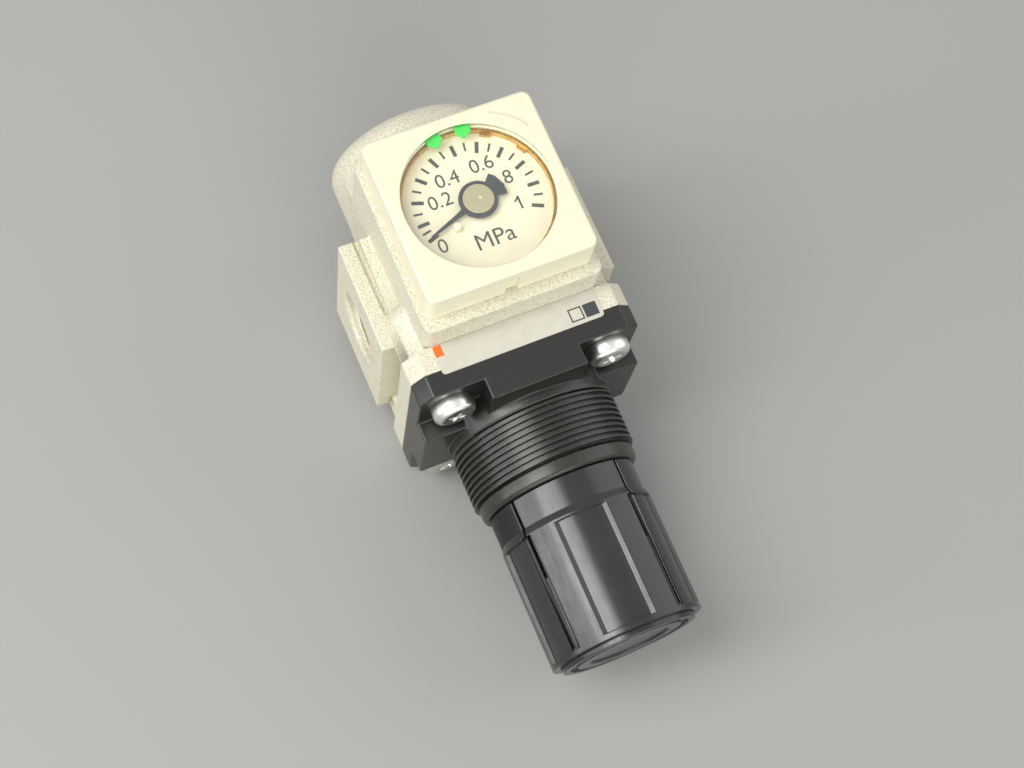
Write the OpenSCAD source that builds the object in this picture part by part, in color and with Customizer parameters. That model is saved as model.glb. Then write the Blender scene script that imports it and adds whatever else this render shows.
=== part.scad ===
// Modular air pressure regulator with an embedded dial gauge.
// X runs through the two ports, Y along the knob axis (knob toward -Y), Z out of the back face.
// The origin lies on the back face, under the crossing of the port axis and the knob axis.

/* [Body] */
// Distance between the two port faces
port_span = 40; // [38:0.5:46]
// Side of the square flange where body and bonnet meet
flange_w = 37; // [36:0.5:42]
// Chamfer on the corners of that flange
flange_chamfer = 2.2; // [1:0.1:3]
// Distance from the port axis to the joint between body and bonnet
joint_drop = 17.1; // [16.5:0.1:20]
// Thickness of the body's own flange
body_flange_t = 4; // [3:0.1:5]
// Width of a port boss along the knob axis
boss_h = 18.8; // [17:0.1:20]
// Depth of a port boss from front to back
boss_d = 27.4; // [24:0.1:29]
// Distance from the port axis to the closed end of the barrel
barrel_len = 28.4; // [27:0.1:34]
// Outer radius of the barrel
barrel_r = 14.4; // [13.8:0.1:16]
// Rounding of the barrel's rim
barrel_round = 3; // [0.5:0.1:3]
// Width of the raised pad on the back face
back_pad_w = 26; // [20:0.5:29]
// Length of that pad beyond the port axis
back_pad_len = 12; // [8:0.5:16]

/* [Ports] */
// Wall radius of a port hole, at the root of its thread
port_r = 6; // [5:0.05:6.3]
// Depth of a port hole
port_depth = 10.7; // [8:0.1:11]
// Radius of the lead-in chamfer at a port's mouth
port_mouth_r = 6.8; // [6.5:0.05:7.4]
// Depth of that chamfer
port_mouth_depth = 0.8; // [0.4:0.1:1.2]
// Width of the coupling groove in the front and back of a boss
coupling_groove_w = 1; // [0.6:0.1:1.4]
// Depth of the coupling groove
coupling_groove_depth = 0.8; // [0.4:0.1:1.2]
// Distance of the groove's middle from the port face
coupling_groove_inset = 3; // [2:0.1:4]
// Distance of the groove's closed end below the port axis
coupling_groove_end = 3.8; // [2:0.1:6]

/* [Gauge frame] */
// Distance of the gauge's middle above the port axis
gauge_rise = 2.75; // [2:0.05:3.5]
// Width of the raised frame that carries the gauge
frame_w = 29.4; // [28.6:0.1:33]
// Rounding of the frame's upright edges
frame_round = 1.5; // [0.8:0.1:2]
// Distance of the frame's lower edge below the port axis
frame_drop = 13.1; // [12.8:0.05:13.1]
// Distance of the frame's upper edge above the port axis
frame_rise = 17.6; // [17:0.05:19]
// Height of the frame's rim above the knob axis
frame_height = 24.6; // [24:0.1:27]
// Radius of the round pocket in the frame
pocket_r = 12.4; // [12:0.05:12.6]
// Depth of the pocket
pocket_depth = 5.1; // [4.5:0.1:5.5]

/* [Valve chamber] */
// Radius of the diaphragm chamber
chamber_r = 12.4; // [11.8:0.1:12.8]
// Distance from the joint to the floor of the diaphragm chamber
chamber_depth = 4.8; // [4.2:0.1:5.2]
// Thickness of the web between the diaphragm chamber and the valve chamber
web_t = 4.8; // [4:0.1:5]
// Radius of the valve chamber
valve_chamber_r = 7.2; // [6.8:0.1:7.4]
// Radius of the hole in the web
seat_hole_r = 3; // [2.4:0.1:3.2]
// Width of the seat lip around that hole
seat_lip_w = 0.8; // [0.5:0.1:1]
// Height of the seat lip
seat_lip_h = 0.8; // [0.5:0.1:1]
// Radius of the plug bore in the barrel
plug_bore_r = 11.6; // [10.5:0.1:11.8]
// Depth of the plug bore from the barrel's end
plug_bore_depth = 13.9; // [13:0.1:15]

/* [Bonnet] */
// Thickness of the bonnet's corner plates, under the screw heads
corner_plate_t = 3.75; // [3.2:0.05:4.5]
// Thickness of the bonnet's four arms
arm_t = 7.15; // [6.6:0.05:8]
// Width of each arm
arm_w = 16; // [15:0.1:17]
// Crest radius of the panel thread, and of the shoulder behind it
collar_r = 13.95; // [13.5:0.05:14]
// Length of the plain shoulder behind the thread
shoulder_len = 1.65; // [1:0.05:2]
// Number of thread crests
thread_turns = 9; // [7:1:10]
// Pitch of the panel thread
thread_pitch = 1; // [0.8:0.1:1.1]
// Depth of the panel thread
thread_depth = 0.6; // [0.4:0.05:0.7]
// Length of the plain ring in front of the thread
nose_len = 2.8; // [2.4:0.1:4]
// Thickness of the bonnet's end wall
end_wall_t = 2; // [1.6:0.1:2.2]
// Radius of the spring chamber
spring_chamber_r = 10.4; // [10.2:0.1:11.2]
// Radius of the stub that the knob slides on
stub_r = 8.6; // [7.5:0.1:9]
// Length of that stub
stub_len = 12.8; // [11:0.1:14]

/* [Knob] */
// Radius of the knob's grip
knob_r = 12.7; // [12.4:0.05:13.2]
// Length of the knob's grip
grip_len = 21; // [20.5:0.1:26]
// Radius of the knob's neck
neck_r = 12.3; // [12.1:0.05:12.35]
// Length of the knob's neck
neck_len = 4.75; // [3.5:0.05:6]
// Radius of the hollow inside the knob
knob_bore_r = 10.6; // [10:0.1:11]
// Thickness of the knob's end
knob_end_t = 2.4; // [2:0.1:3]
// Number of recessed panels around the grip
panel_count = 6; // [5:1:8]
// Angle that each panel covers
panel_angle = 40; // [30:1:42]
// Depth of the panels
panel_depth = 0.6; // [0.3:0.05:0.8]
// Turn of the first panel from straight up, seen from the barrel's end
panel_turn = 6.3; // [0:0.1:10]
// Length of the four spring slits
slit_len = 13; // [8:0.1:14]
// Width of the slits
slit_w = 0.4; // [0.3:0.05:0.6]
// Radius of the cap in the knob's end
cap_r = 11.3; // [10.5:0.1:11.6]
// Thickness of that cap
cap_t = 1.45; // [1.1:0.05:1.6]
// How far the knob pulls out to unlock
knob_pull = 2.2; // [1.5:0.1:2.6]

/* [Setting screw] */
// Radius of the setting thread
screw_r = 3.9; // [3.5:0.05:3.9]
// Radius of the screw's thrust flange
screw_flange_r = 6; // [5.5:0.1:6.5]
// Thickness of the thrust flange
screw_flange_t = 1.2; // [1:0.1:1.4]
// Distance across the flats of the hexagon that drives the screw
hex_af = 6; // [5.2:0.1:6]
// Length of the hexagon
hex_len = 9.5; // [8:0.1:9.8]
// Thickness of the thrust washer
washer_t = 0.5; // [0.3:0.05:0.6]
// Thickness of the setting nut
nut_t = 3; // [2.6:0.1:3.2]
// Radius of the nut's flange
nut_r = 9.6; // [9.2:0.1:9.8]
// Travel of the nut over the knob's whole range
nut_travel = 3.5; // [3:0.1:3.6]
// Wire radius of the setting spring
spring_wire_r = 0.75; // [0.6:0.05:0.8]
// Mean radius of the setting spring
spring_mean_r = 7.9; // [7.5:0.1:8.2]
// Turns of the setting spring
spring_turns = 4; // [3.5:0.5:4.5]

/* [Diaphragm and valve] */
// Outer radius of the diaphragm's clamped rim
rim_r = 15; // [14.4:0.05:15.2]
// Thickness of the rim
rim_t = 1.2; // [1:0.05:1.4]
// Thickness of the diaphragm's rubber
rubber_t = 0.8; // [0.6:0.05:0.9]
// Radius of the metal plate on the diaphragm
plate_r = 9.2; // [9:0.1:9.3]
// Thickness of that plate
plate_t = 1.5; // [1.2:0.1:1.8]
// Radius of the relief seat's shank
relief_shank_r = 2.4; // [2:0.05:2.6]
// Radius of the relief seat's head
relief_head_r = 4.2; // [3.6:0.1:4.8]
// Thickness of the relief seat's head
relief_head_t = 1; // [0.8:0.05:1.2]
// Radius of the valve stem
stem_r = 1.2; // [1:0.05:1.4]
// Radius of the valve's disc
valve_r = 4.9; // [4.6:0.1:5]
// Thickness of the valve's rubber face
valve_seal_t = 1.5; // [1.2:0.1:1.8]
// Outer radius of the valve's guide skirt
skirt_r = 5.1; // [5.05:0.05:5.3]
// How far the valve opens
valve_lift = 0.8; // [0.5:0.1:1]
// Wire radius of the valve spring
valve_wire_r = 0.35; // [0.25:0.05:0.4]
// Turns of the valve spring
valve_spring_turns = 6; // [5:1:7]

/* [Gauge] */
// Side of the square gauge
gauge_w = 27.7; // [27.4:0.1:29]
// Rounding of the gauge's corners
gauge_round = 1.5; // [1:0.1:2.2]
// Height of the gauge case above the frame
case_height = 4.1; // [3.8:0.05:4.4]
// Height of the cover above the case
cover_height = 2.87; // [2.8:0.05:3.4]
// Radius of the round window opening
window_r = 11.9; // [11.6:0.05:12.2]
// Thickness of the window
window_t = 0.7; // [0.5:0.05:0.8]
// Height of the dial's face above the frame
dial_height = 3.7; // [3.6:0.05:3.75]
// Thickness of the dial plate
dial_t = 0.4; // [0.3:0.05:0.5]
// Length of the pointer from its shaft
pointer_len = 9.5; // [8.5:0.1:9.8]
// Direction in which the pointer reads zero, counted from +X
zero_angle = 200.3; // [195:0.1:205]
// Direction of the lower limit marker
low_marker_angle = 104; // [98:0.5:120]
// Direction of the upper limit marker
high_marker_angle = 80; // [60:0.5:84]

/* [Screws] */
// Distance between neighbouring bonnet screws
screw_pitch = 26.4; // [26:0.1:30]
// Radius of a bonnet screw's shank
bonnet_screw_r = 1.9; // [1.7:0.05:2]
// Radius of a bonnet screw's head
bonnet_head_r = 3.5; // [3.2:0.05:3.7]
// Height of a bonnet screw's head
bonnet_head_h = 2.7; // [2.2:0.1:2.9]
// Length of a bonnet screw under its head
bonnet_screw_len = 14; // [12:0.5:14.5]
// Radius of the pillar around each bonnet screw
pillar_r = 4.7; // [4.2:0.1:4.8]
// Distance from the gauge's middle to its screws, along each side
gauge_screw_offset = 11.2; // [11:0.05:11.5]
// Radius of a gauge screw's shank
gauge_screw_r = 0.8; // [0.7:0.05:0.9]
// Radius of a gauge screw's head
gauge_head_r = 1.65; // [1.5:0.05:1.75]

/* [Nameplate] */
// Width of the blank nameplate
plate_label_w = 27.2; // [24:0.1:28]
// Thickness of the nameplate
label_t = 0.2; // [0.15:0.05:0.3]
// How far the nameplate laps over the bonnet's flange
label_lap = 0.9; // [0.5:0.1:1.4]

/* [Hidden] */
$fn = 96;

// Clearances
fit_gap = 0.05;      // parts that stay together
run_gap = 0.08;      // shafts in their bores
slide_gap = 0.3;     // moving parts beside fixed ones
seal_gap = 0.02;     // an O-ring beside its bore
cut = 1;             // how far a cut runs past a face

// Main levels
axis_z = flange_w / 2;
front_z = flange_w;
joint_y = -joint_drop;
frame_z = axis_z + frame_height;
pocket_floor_z = frame_z - pocket_depth;

// Levels along the knob axis, from the body to the knob's end
chamber_floor_y = joint_y + chamber_depth;
web_end_y = chamber_floor_y + web_t;
seat_y = web_end_y + seat_lip_h;
plate_face_y = joint_y - corner_plate_t;
arm_face_y = joint_y - arm_t;
thread_start_y = arm_face_y - shoulder_len;
thread_end_y = thread_start_y - thread_turns * thread_pitch;
nose_y = thread_end_y - nose_len;
spring_top_y = nose_y + end_wall_t;
stub_end_y = nose_y - stub_len;
nose_r = collar_r - thread_depth;

// Setting screw and nut
washer_y = spring_top_y + fit_gap;
screw_flange_y = washer_y + washer_t + fit_gap;
nut_y = screw_flange_y + screw_flange_t + slide_gap;
spring_seat_y = nut_y + nut_t;
stub_bore_r = screw_r + run_gap;
nut_lug_r = spring_chamber_r + 1.2;
nut_lug_w = 4;
hex_end_y = stub_end_y - hex_len;

// Diaphragm stack
diaphragm_y = joint_y + (rim_t - rubber_t);
plate_y = joint_y + (rim_t - rubber_t) - fit_gap;
plate_seat_y = plate_y - plate_t;
relief_y = diaphragm_y + rubber_t + fit_gap;
relief_head_y = relief_y + relief_head_t;
relief_shank_len = 3.2;
vent_r = 0.8;
convolution_r = 1.25;
convolution_mid_r = plate_r + convolution_r + 0.2;

// Valve
valve_face_y = seat_y + fit_gap;
valve_disc_y = valve_face_y + valve_seal_t;
valve_disc_t = 1.4;
skirt_wall = 0.9;
stem_tip_y = relief_head_y + fit_gap;
guide_bore_r = skirt_r + run_gap;
guide_tube_r = valve_chamber_r - fit_gap;
guide_tip_y = valve_disc_y + 7.6;
guided_len = 3;
skirt_len = guide_tip_y - valve_disc_y + guided_len + valve_lift;
guide_floor_y = barrel_len - 12.4;
plug_r = plug_bore_r - fit_gap;
plug_face_y = barrel_len - 2.2;
plug_seat_y = barrel_len - plug_bore_depth;
clip_t = 0.8;
clip_r = plug_bore_r + 0.6;

// Knob
knob_start_y = nose_y - 0.15;
grip_y = knob_start_y - neck_len;
knob_end_y = grip_y - grip_len;
cap_seat_y = knob_end_y + 0.6;
hub_r = 6.4;
hub_y = stub_end_y - 0.5;
socket_af = hex_af + 2 * fit_gap;

// Gauge
case_top_z = frame_z + case_height;
cover_top_z = case_top_z + cover_height;
dial_z = frame_z + dial_height;
case_floor_z = pocket_floor_z + fit_gap;
case_floor_t = 1.15;
case_boss_r = pocket_r - 0.1;
case_bore_r = pocket_r - 1.1;
dial_recess_r = window_r;
dial_r = dial_recess_r - 0.2;
rim_in_r = window_r + 0.05;
rim_out_r = rim_in_r + 0.45;
cover_bore_r = rim_out_r + fit_gap;
rim_top_z = case_top_z + 1.05;
marker_z = rim_top_z + fit_gap;
marker_t = 0.55;
window_z = marker_z + marker_t + fit_gap;
ring_h = 1.1;
pointer_z = dial_z + 0.75;
pointer_t = 0.3;
pointer_hub_r = 3.05;
pointer_cap_r = 2.4;
pointer_cap_t = 0.32;
shaft_r = 0.45;
stem_socket_r = 3.2;
sense_r = 0.9;
sense_z = axis_z + valve_chamber_r + 3;
bridge_z = dial_z - dial_t - 1.6;
bridge_t = 0.8;
post_r = 0.7;
post_offset = case_bore_r - 1.1;
peg_r = 0.6;
peg_offset = 5.6;
peg_angle = zero_angle + 12;

// ---- Placing -------------------------------------------------------------

// Local Z becomes the knob axis, toward +Y
module on_axis() {
    translate([0, 0, axis_z]) rotate([-90, 0, 0]) children();
}

// Local Z becomes the port axis, toward side * X
module on_port(side) {
    translate([0, 0, axis_z]) rotate([0, side * 90, 0]) children();
}

module at_gauge() {
    translate([0, gauge_rise, 0]) children();
}

module at_bonnet_screws() {
    for (x = [-1, 1], z = [-1, 1])
        translate([x * screw_pitch / 2, 0, z * screw_pitch / 2]) children();
}

// ---- Shared shapes -------------------------------------------------------

// A straight round bar between two levels of its own axis
module bar(low, high, r) {
    translate([0, 0, low]) cylinder(h = high - low, r = r);
}

// A straight tube between two levels
module tube(low, high, r_out, r_in) {
    translate([0, 0, low]) linear_extrude(high - low) difference() {
        circle(r = r_out);
        circle(r = r_in);
    }
}

// A round bar with its high end's rim rounded
module bullet(low, high, r, rounding) {
    rotate_extrude() union() {
        translate([0, low]) square([r, high - rounding - low]);
        translate([0, low]) square([r - rounding, high - low]);
        translate([r - rounding, high - rounding]) intersection() {
            circle(r = rounding, $fn = 32);
            square(rounding);
        }
    }
}

// A rectangle with round corners, made of straight sides and true arcs
module round_rectangle(w, h, r) {
    square([w - 2 * r, h], center = true);
    square([w, h - 2 * r], center = true);
    for (x = [-1, 1], y = [-1, 1])
        translate([x * (w / 2 - r), y * (h / 2 - r)]) circle(r = r, $fn = 48);
}

// A square with its four corners cut off
module chamfered_square(w, c) {
    a = w / 2;
    b = a - c;
    polygon([[b, a], [-b, a], [-a, b], [-a, -b], [-b, -a], [b, -a], [a, -b], [a, b]]);
}

// An O-ring around local Z
module o_ring(mid_r, wire_r) {
    rotate_extrude() translate([mid_r, 0]) circle(r = wire_r, $fn = 32);
}

// A hexagonal bar between two levels, by its distance across flats
module hex_bar(low, high, af) {
    translate([0, 0, low]) cylinder(h = high - low, r = af / sqrt(3), $fn = 6);
}

// A wedge that covers an angle around local Z
module wedge(low, high, middle, angle, r) {
    a = angle / 2;
    translate([0, 0, low]) rotate([0, 0, middle]) linear_extrude(high - low)
        polygon([[0, 0], [r * cos(a), -r * sin(a)], [r * 1.3, 0], [r * cos(a), r * sin(a)]]);
}

// Centre line of a coil with flat ends, as a share t of its length
function coil_point(t, r, low, high, turns) =
    let (a = 360 * turns * t) [r * cos(a), r * sin(a), low + (high - low) * t];

// A round wire wound around local Z
module coil(r, wire_r, low, high, turns, sides = 8, steps = 18) {
    n = round(turns * steps);
    rings = [for (i = [0:n], k = [0:sides - 1])
        let (
            a = 360 * turns * i / n,
            p = coil_point(i / n, r, low + wire_r, high - wire_r, turns),
            s = 360 * k / sides
        ) [p[0] + wire_r * cos(s) * cos(a), p[1] + wire_r * cos(s) * sin(a), p[2] + wire_r * sin(s)]];
    walls = [for (i = [0:n - 1], k = [0:sides - 1])
        let (m = (k + 1) % sides, b = i * sides, c = b + sides) [b + k, c + k, c + m, b + m]];
    start = [for (k = [0:sides - 1]) k];
    finish = [for (k = [sides - 1:-1:0]) n * sides + k];
    polyhedron(points = rings, faces = concat(walls, [start], [finish]), convexity = 6);
}

// Outline of a flat strip wound into a spiral
function spiral_edge(r_in, r_out, turns, shift, steps) =
    [for (i = [0:steps])
        let (t = i / steps, r = r_in + (r_out - r_in) * t + shift)
        [r * cos(360 * turns * t), r * sin(360 * turns * t)]];

// ---- Body ----------------------------------------------------------------

module barrel_shape() {
    bullet(joint_y + body_flange_t - cut, barrel_len, barrel_r, barrel_round);
}

module screw_pillar() {
    bullet(joint_y + body_flange_t - cut,
        joint_y + bonnet_screw_len - corner_plate_t + 3.4, pillar_r, 3);
}

module body_outside() {
    on_axis() barrel_shape();
    // port bosses
    translate([-port_span / 2, -boss_h / 2, axis_z - boss_d / 2])
        cube([port_span, boss_h, boss_d]);
    // flange and the solid between its screw pillars
    on_axis() translate([0, 0, joint_y]) linear_extrude(body_flange_t)
        chamfered_square(flange_w, flange_chamfer);
    core_w = flange_w - 4;
    translate([-core_w / 2, joint_y + cut, axis_z - screw_pitch / 2])
        cube([core_w, joint_drop - boss_h / 2, screw_pitch]);
    at_bonnet_screws() on_axis() screw_pillar();
    // gauge frame
    translate([0, (frame_rise - frame_drop) / 2, axis_z])
        linear_extrude(frame_height) round_rectangle(frame_w, frame_rise + frame_drop, frame_round);
    // back pad
    pad_len = joint_drop - cut + back_pad_len;
    translate([0, back_pad_len - pad_len / 2, 0])
        linear_extrude(axis_z - barrel_r / 2) round_rectangle(back_pad_w, pad_len, frame_round);
}

module body_bores() {
    on_axis() {
        // diaphragm chamber, its rim groove, the web's hole and the valve chamber
        bar(joint_y - cut, chamber_floor_y, chamber_r);
        bar(joint_y - cut, joint_y + rim_t, rim_r + fit_gap);
        bar(chamber_floor_y - cut, web_end_y + cut + seat_lip_h, seat_hole_r);
        tube(web_end_y, seat_y, valve_chamber_r, seat_hole_r + seat_lip_w);
        bar(seat_y, barrel_len, valve_chamber_r);
        // plug bore and its clip groove
        bar(plug_seat_y, barrel_len + cut, plug_bore_r);
        bar(plug_face_y + fit_gap, plug_face_y + clip_t + 3 * fit_gap, clip_r + fit_gap);
    }
    // ports with their mouth chamfers
    for (side = [-1, 1]) on_port(side) {
        bar(port_span / 2 - port_depth, port_span / 2 + cut, port_r);
        translate([0, 0, port_span / 2 - port_mouth_depth])
            cylinder(h = port_mouth_depth + 0.01, r1 = port_r, r2 = port_mouth_r);
    }
    // inlet into the valve chamber
    on_port(-1) bar(valve_chamber_r - cut, port_span / 2 - port_depth + cut, 3);
    // outlet from the diaphragm chamber
    outlet_r = 1.7;
    outlet_x = port_span / 2 - port_depth + 1;
    translate([outlet_x, 0, 0]) on_axis() bar(chamber_floor_y - cut, -port_r / 2, outlet_r);
    // sensing hole to the gauge
    translate([0, 0, sense_z - axis_z]) on_axis()
        bar(chamber_floor_y - cut, gauge_rise, sense_r);
    at_gauge() {
        bar(sense_z - sense_r - 0.4, pocket_floor_z + cut, stem_socket_r);
        bar(pocket_floor_z, frame_z + cut, pocket_r);
        at_gauge_screws() bar(pocket_floor_z, frame_z + cut, gauge_screw_r + fit_gap);
    }
    // bonnet screw holes
    at_bonnet_screws() on_axis()
        bar(joint_y - cut, joint_y + bonnet_screw_len - corner_plate_t + 0.5, bonnet_screw_r + fit_gap);
    coupling_grooves();
}

// Grooves that take the clamp between neighbouring modules
module coupling_grooves() {
    x = port_span / 2 - coupling_groove_inset;
    for (side = [-1, 1], face = [-1, 1])
        translate([side * x, 0, axis_z + face * boss_d / 2]) {
            translate([0, -coupling_groove_end, -coupling_groove_depth])
                cylinder(h = 2 * coupling_groove_depth, d = coupling_groove_w);
            translate([-coupling_groove_w / 2, -coupling_groove_end, -coupling_groove_depth])
                cube([coupling_groove_w, boss_h, 2 * coupling_groove_depth]);
        }
}

module body() {
    color("antiquewhite") difference() {
        body_outside();
        body_bores();
    }
}

module nameplate() {
    top_y = -frame_drop - 0.1;
    low_y = joint_y - label_lap;
    color("whitesmoke") translate([0, (top_y + low_y) / 2, front_z])
        linear_extrude(label_t) round_rectangle(plate_label_w, top_y - low_y, 0.6);
}

// ---- Bonnet --------------------------------------------------------------

// Half section of the collar: shoulder, thread crests and nose
module collar_section() {
    crest = thread_pitch * 0.2;
    flank = thread_pitch * 0.25;
    rise = nose_r;
    top = collar_r;
    polygon(concat(
        [[0, joint_y], [top, joint_y], [top, thread_start_y]],
        [for (i = [0:thread_turns - 1], k = [0:3])
            let (y = thread_start_y - i * thread_pitch)
            k == 0 ? [rise, y - flank] :
            k == 1 ? [rise, y - thread_pitch + flank + crest] :
            k == 2 ? [top, y - thread_pitch + crest] : [top, y - thread_pitch]],
        [[rise, thread_end_y - flank], [rise, nose_y + 0.4], [rise - 0.4, nose_y], [0, nose_y]]
    ));
}

module bonnet() {
    cavity_r = convolution_mid_r + convolution_r + 0.3;
    color([0.1, 0.1, 0.11]) difference() {
        union() {
            on_axis() translate([0, 0, plate_face_y]) linear_extrude(corner_plate_t)
                chamfered_square(flange_w, flange_chamfer);
            for (turn = [0, 90])
                on_axis() rotate([0, 0, turn]) translate([-arm_w / 2, -flange_w / 2, arm_face_y])
                    cube([arm_w, flange_w, arm_t]);
            on_axis() {
                rotate_extrude() collar_section();
                bar(stub_end_y, nose_y + cut, stub_r);
            }
        }
        on_axis() {
            bar(arm_face_y + 2, joint_y + cut, cavity_r);
            bar(spring_top_y, joint_y, spring_chamber_r);
            bar(stub_end_y - cut, spring_top_y + cut, stub_bore_r);
            // slots that keep the setting nut from turning
            for (turn = [0, 180]) rotate([0, 0, turn])
                translate([0, -nut_lug_w / 2 - run_gap, spring_top_y])
                    cube([nut_lug_r + run_gap, nut_lug_w + 2 * run_gap, joint_y - spring_top_y]);
            // detent grooves for the locked and the unlocked knob
            for (i = [0, 1]) translate([0, 0, stub_end_y + 3.5 + i * knob_pull])
                tube(0, 0.8, stub_r + cut, stub_r - 0.3);
        }
        at_bonnet_screws() on_axis() bar(plate_face_y - cut, joint_y + cut, bonnet_screw_r + 0.2);
        // vent from the spring chamber
        translate([0, arm_face_y + 3.4, 0]) bar(-cut, axis_z - spring_chamber_r + cut, 0.8);
    }
}

// Pan head with a cross recess, on a straight shank
module pan_screw(head_r, head_h, shank_r, shank_len, slot_w) {
    edge = head_h * 0.45;
    difference() {
        union() {
            mirror([0, 0, 1]) bullet(0, head_h, head_r, edge);
            bar(-edge, shank_len, shank_r);
        }
        for (turn = [0, 90]) rotate([0, 0, turn])
            translate([-head_r * 0.55, -slot_w / 2, -head_h - cut])
                cube([head_r * 1.1, slot_w, head_h * 0.55 + cut]);
    }
}

module bonnet_screws() {
    color("silver") at_bonnet_screws() on_axis() translate([0, 0, plate_face_y]) rotate([0, 0, 20])
        pan_screw(bonnet_head_r, bonnet_head_h, bonnet_screw_r, bonnet_screw_len, 0.9);
}

// ---- Valve end -----------------------------------------------------------

module valve_guide() {
    groove_y = plug_face_y - 3.4;
    color([0.15, 0.15, 0.16]) on_axis() difference() {
        union() {
            bar(plug_seat_y + 3.5, plug_face_y, plug_r);
            bar(plug_seat_y + fit_gap, plug_seat_y + 3.5 + cut, plug_r - 1.5);
            bar(guide_tip_y, plug_seat_y + cut, guide_tube_r);
        }
        bar(guide_tip_y - cut, guide_floor_y, guide_bore_r);
        tube(groove_y - 0.8, groove_y + 0.8, plug_r + cut, plug_r - 1.4);
        hex_bar(plug_face_y - 3.5, plug_face_y + cut, 8);
    }
}

module guide_o_ring() {
    color([0.08, 0.08, 0.08]) on_axis() translate([0, 0, plug_face_y - 3.4])
        o_ring(plug_bore_r - seal_gap - 0.7, 0.7);
}

module guide_clip() {
    low = plug_face_y + 2 * fit_gap;
    color("silver") on_axis() difference() {
        tube(low, low + clip_t, clip_r, clip_r - 1.8);
        wedge(low - cut, low + clip_t + cut, 90, 40, clip_r + 2);
    }
}

module valve_spring() {
    color("silver") on_axis()
        coil(skirt_r - skirt_wall - valve_wire_r - 0.2, valve_wire_r,
            valve_disc_y + valve_disc_t + fit_gap, guide_floor_y - fit_gap, valve_spring_turns);
}

module valve_stem() {
    low = valve_disc_y + fit_gap;
    color("goldenrod") on_axis() {
        bar(stem_tip_y, low + cut, stem_r);
        bar(low, valve_disc_y + valve_disc_t, valve_r);
        tube(low, low + skirt_len, skirt_r, skirt_r - skirt_wall);
    }
}

module valve_seal() {
    color([0.1, 0.1, 0.1]) on_axis()
        tube(valve_face_y, valve_disc_y, valve_r, stem_r + fit_gap);
}

// ---- Diaphragm and setting spring ---------------------------------------

module diaphragm() {
    flat_y = diaphragm_y;
    color([0.2, 0.2, 0.2]) on_axis() rotate_extrude() union() {
        // flat middle and flat outer web
        translate([relief_shank_r + fit_gap, flat_y])
            square([convolution_mid_r - convolution_r + rubber_t - relief_shank_r - fit_gap, rubber_t]);
        translate([convolution_mid_r + convolution_r - rubber_t, flat_y])
            square([rim_r - convolution_mid_r - convolution_r + rubber_t, rubber_t]);
        // clamped rim
        translate([chamber_r + 0.4, joint_y]) square([rim_r - chamber_r - 0.4, rim_t]);
        // convolution, a half round that bulges toward the spring
        translate([convolution_mid_r, flat_y + rubber_t]) difference() {
            circle(r = convolution_r, $fn = 48);
            circle(r = convolution_r - rubber_t, $fn = 48);
            translate([-2 * convolution_r, 0]) square([4 * convolution_r, 2 * convolution_r]);
        }
    }
}

module diaphragm_plate() {
    color("gainsboro") on_axis() difference() {
        union() {
            bar(plate_seat_y, plate_y, plate_r);
            bar(plate_seat_y - 1, plate_y, spring_mean_r - spring_wire_r - 0.4);
        }
        bar(plate_seat_y - cut - 1, plate_y + cut, relief_shank_r + fit_gap);
    }
}

module relief_seat() {
    color("goldenrod") on_axis() difference() {
        union() {
            bar(relief_y, relief_head_y, relief_head_r);
            bar(relief_y - relief_shank_len, relief_y + relief_head_t / 2, relief_shank_r);
        }
        bar(relief_y - relief_shank_len - cut, relief_head_y + cut, vent_r);
    }
}

module setting_spring() {
    color("dimgray") on_axis()
        coil(spring_mean_r, spring_wire_r, spring_seat_y + fit_gap, plate_seat_y - fit_gap, spring_turns);
}

module setting_nut() {
    spigot_r = spring_mean_r - spring_wire_r - 0.4;
    color("goldenrod") on_axis() difference() {
        union() {
            bar(nut_y, spring_seat_y, nut_r);
            bar(nut_y, spring_seat_y + 1, spigot_r);
            translate([-nut_lug_r + run_gap, -nut_lug_w / 2, nut_y])
                cube([2 * (nut_lug_r - run_gap), nut_lug_w, nut_t]);
        }
        bar(nut_y - cut, spring_seat_y + 1 + cut, screw_r + run_gap);
    }
}

module setting_screw() {
    inner_y = spring_seat_y + 2 + nut_travel;
    color("gray") on_axis() {
        bar(screw_flange_y, inner_y, screw_r);
        bar(screw_flange_y, screw_flange_y + screw_flange_t, screw_flange_r);
        bar(stub_end_y, screw_flange_y + cut, screw_r);
        hex_bar(hex_end_y, stub_end_y + cut, hex_af);
    }
}

module thrust_washer() {
    color("ivory") on_axis()
        tube(washer_y, washer_y + washer_t, screw_flange_r + 1, screw_r + run_gap);
}

// ---- Knob ----------------------------------------------------------------

// Half section of the knob's outside
module knob_section() {
    bevel = 0.5;
    polygon([
        [0, knob_start_y], [neck_r, knob_start_y], [neck_r, grip_y],
        [knob_r - 0.1, grip_y], [knob_r, grip_y - bevel],
        [knob_r, knob_end_y + bevel], [knob_r - bevel, knob_end_y], [0, knob_end_y]
    ]);
}

module knob_panels() {
    low = knob_end_y + 0.9;
    high = grip_y - 1.5;
    for (i = [0:panel_count - 1])
        intersection() {
            tube(low, high, knob_r + cut, knob_r - panel_depth);
            wedge(low - cut, high + cut, -90 - panel_turn + 360 * i / panel_count,
                panel_angle, 2 * knob_r);
        }
}

module knob_slits() {
    for (i = [0:3])
        rotate([0, 0, -90 - panel_turn + 45 + 90 * i])
            translate([knob_bore_r - cut, -slit_w / 2, knob_start_y - slit_len])
                cube([knob_r - knob_bore_r + 2 * cut, slit_w, slit_len + cut]);
}

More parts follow.
